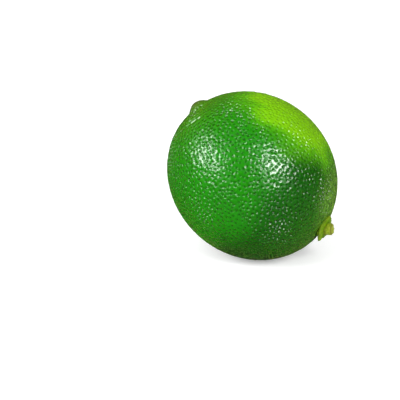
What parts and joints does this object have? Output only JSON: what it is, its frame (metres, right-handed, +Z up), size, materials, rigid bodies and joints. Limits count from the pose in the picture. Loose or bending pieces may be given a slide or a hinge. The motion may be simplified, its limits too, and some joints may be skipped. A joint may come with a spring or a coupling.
{
  "type": "lime",
  "caption": "Whole fresh green lime with pitted waxy peel, a nipple at one end and a lobed calyx with a short stalk end at the other, resting on a small flat spot.",
  "frame": {"origin": "middle of the small flat spot that the lime rests on", "axes": "+Z up; the long axis of the fruit lies in the XZ plane, with the nipple end up towards -X and the stalk end down towards +X; -Y is the side that the picture mostly shows"},
  "size_m": [0.0556, 0.052, 0.0531],
  "materials": {
    "peel": "satin",
    "calyx": "matte",
    "stalk": "matte"
  },
  "bodies": {
    "root": {"fruit": "peel", "calyx": "calyx", "stem_stub": "stalk"}
  },
  "joints": []
}
